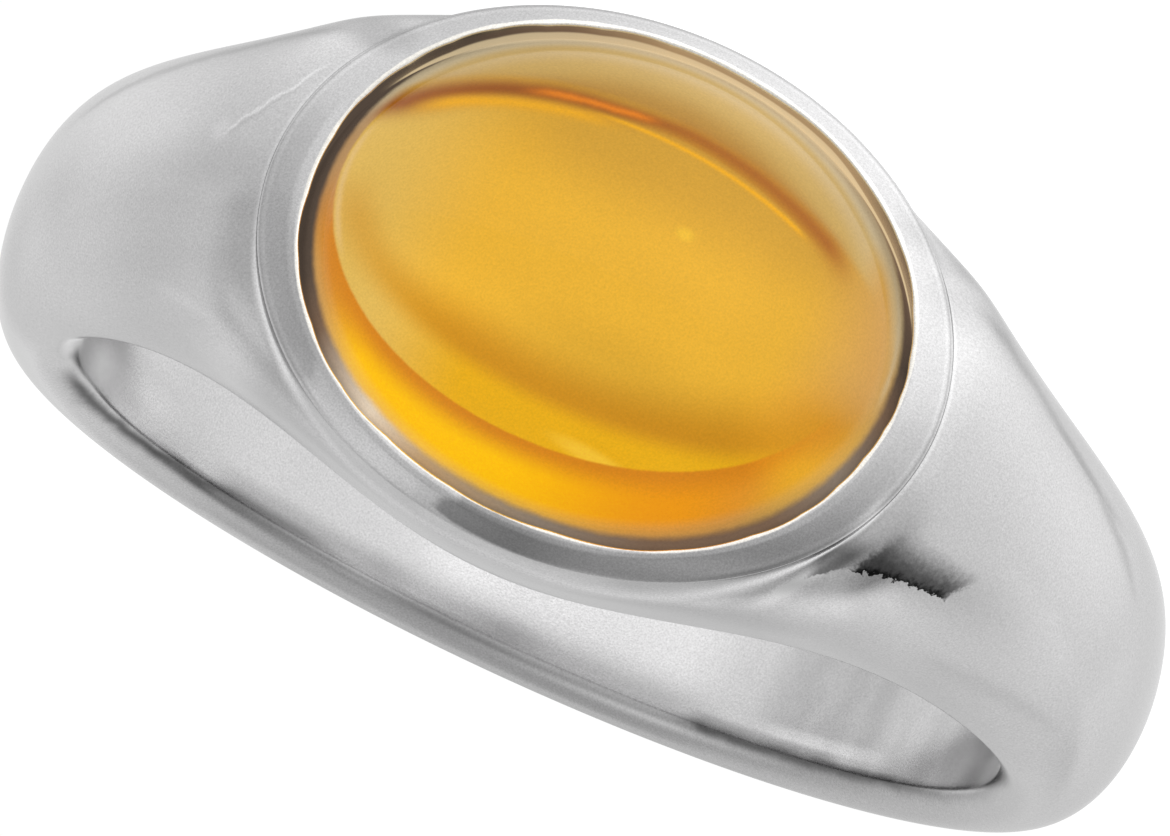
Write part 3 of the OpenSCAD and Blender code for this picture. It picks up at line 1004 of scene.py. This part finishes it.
def soft_lights(desk, towards, base, lights):
    """The brightness in a direction: a base plus, for each light, its strength times e to the power of its
    tightness times (the cosine of the angle from its middle, less 1)."""
    total = base
    for azimuth, elevation, tight, strength in lights:
        a, e = math.radians(azimuth), math.radians(elevation)
        middle = (math.cos(a) * math.cos(e), math.sin(a) * math.cos(e), math.sin(e))
        dot = desk.wire(
            "ShaderNodeVectorMath", {"operation": "DOT_PRODUCT"}, {0: towards, 1: middle}, "Value")
        total = total + desk.math("EXPONENT", (dot - 1) * tight) * strength
    return total.at_least(0.02)


# The camera, fitted to the photo: its angles in degrees and distance in metres, the photo's scale at the
# ring, and how far the camera is moved right and up in its own picture
CAMERA = dict(roll=-154.09, azimuth=-4.4848, elevation=23.0643, distance=0.39198)
SENSOR_WIDTH = 36
PIXELS_PER_MM = 51.0108
CAMERA_RIGHT_MM = 0.12624
CAMERA_UP_MM = 1.09118


def camera_matrix(roll, azimuth, elevation, distance):
    """Looks at the finger hole from an azimuth and elevation, turned about the line of sight by the roll."""
    a, e, r = (math.radians(v) for v in (azimuth, elevation, roll))
    back = Vector((math.sin(a) * math.cos(e), -math.cos(a) * math.cos(e), math.sin(e)))
    level = Vector((math.cos(a), math.sin(a), 0))
    right = level * math.cos(r) + back.cross(level) * math.sin(r)
    up = back.cross(right)
    middle = Vector(hole_mount()["pos_m"]) + (right * CAMERA_RIGHT_MM + up * CAMERA_UP_MM) * MM
    m = Matrix((right, up, back)).transposed().to_4x4()
    m.translation = middle + back * distance
    return m


def make_floor(scene):
    """A white floor that glows by itself, by the direction in which the ring sees it."""
    mesh = bpy.data.meshes.new("floor")
    corners = [(x * FLOOR_REACH, y * FLOOR_REACH, 0) for x, y in ((-1, -1), (1, -1), (1, 1), (-1, 1))]
    mesh.from_pydata(corners, [], [(0, 1, 2, 3)])
    material, desk = new_material("pale floor")
    where = desk.wire("ShaderNodeTexCoord", output="Object")
    down = desk.wire("ShaderNodeVectorMath", {"operation": "SUBTRACT"}, {0: where, 1: (0, 0, RING_HEIGHT)})
    down = desk.wire("ShaderNodeVectorMath", {"operation": "NORMALIZE"}, {0: down})
    bright = soft_lights(desk, down, FLOOR_BASE, FLOOR).at_least(FLOOR_LEAST)
    tint = (*scene.ring_looks.floor, 1)
    desk.show(desk.wire("ShaderNodeEmission", {}, {"Color": tint, "Strength": bright}))
    mesh.materials.append(material)
    floor = bpy.data.objects.new("floor", mesh)
    scene.collection.objects.link(floor)


def light_studio(scene):
    """The soft lights and cards, as the world's background."""
    world = scene.world or bpy.data.worlds.new("soft studio")
    scene.world = world
    world.use_nodes = True
    desk = Desk(world.node_tree)
    bright = soft_lights(desk, desk.wire("ShaderNodeTexCoord", output="Generated"), SKY_BASE, SKY)
    back = desk.wire("ShaderNodeBackground", {}, {"Color": (1, 1, 1, 1), "Strength": bright})
    desk.show(back, "ShaderNodeOutputWorld")


def place_camera(scene):
    data = bpy.data.cameras.new("camera")
    data.sensor_width = SENSOR_WIDTH
    data.lens = SENSOR_WIDTH * PIXELS_PER_MM * CAMERA["distance"] / MM / PHOTO_SIZE[0]
    data.clip_start, data.clip_end = 0.01, 20
    camera = bpy.data.objects.new("camera", data)
    scene.collection.objects.link(camera)
    camera.matrix_world = camera_matrix(**CAMERA)
    scene.camera = camera


# The add-on

class RING_OT_mounting(bpy.types.Operator):
    """Make the mounting: band, shoulders, bezel and rim in one piece"""
    bl_idname = "ring.mounting"
    bl_label = "Mounting"

    def execute(self, context):
        s = sizes()
        piece = mesh_piece("mounting_polished", mounting_points(s), polished_metal(s))
        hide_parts("mounting")
        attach(piece, "root")
        return {"FINISHED"}


class RING_OT_cabochon(bpy.types.Operator):
    """Make the oval cabochon"""
    bl_idname = "ring.cabochon"
    bl_label = "Cabochon"

    def execute(self, context):
        s = sizes()
        piece = mesh_piece("cabochon_dome", cabochon_points(s), honey_stone(s))
        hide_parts("cabochon")
        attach(piece, "root")
        return {"FINISHED"}


class RING_OT_stage(bpy.types.Operator):
    """Make the pale floor, the soft light and the camera"""
    bl_idname = "ring.stage"
    bl_label = "Stage"

    def execute(self, context):
        context.scene.view_settings.view_transform = "Standard"
        make_floor(context.scene)
        light_studio(context.scene)
        place_camera(context.scene)
        return {"FINISHED"}


class RING_PT_panel(bpy.types.Panel):
    """The ring's makers and sizes"""
    bl_label = "Cabochon ring"
    bl_idname = "RING_PT_panel"
    bl_space_type = "VIEW_3D"
    bl_region_type = "UI"
    bl_category = "Cabochon ring"

    def draw(self, context):
        for operator in OPERATORS:
            self.layout.operator(operator.bl_idname)
        for group in (context.scene.ring_sizes, context.scene.ring_looks):
            box = self.layout.box()
            for key in group.__annotations__:
                box.prop(group, key)


OPERATORS = (RING_OT_mounting, RING_OT_cabochon, RING_OT_stage)
CLASSES = (RingSizes, RingLooks, *OPERATORS, RING_PT_panel)


def register():
    for item in CLASSES:
        bpy.utils.register_class(item)
    bpy.types.Scene.ring_sizes = PointerProperty(type=RingSizes)
    bpy.types.Scene.ring_looks = PointerProperty(type=RingLooks)


def unregister():
    del bpy.types.Scene.ring_sizes, bpy.types.Scene.ring_looks
    for item in reversed(CLASSES):
        bpy.utils.unregister_class(item)


def main():
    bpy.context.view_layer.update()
    register()
    bpy.ops.ring.mounting()
    bpy.ops.ring.cabochon()
    bpy.ops.ring.stage()


if __name__ == "__main__":
    main()
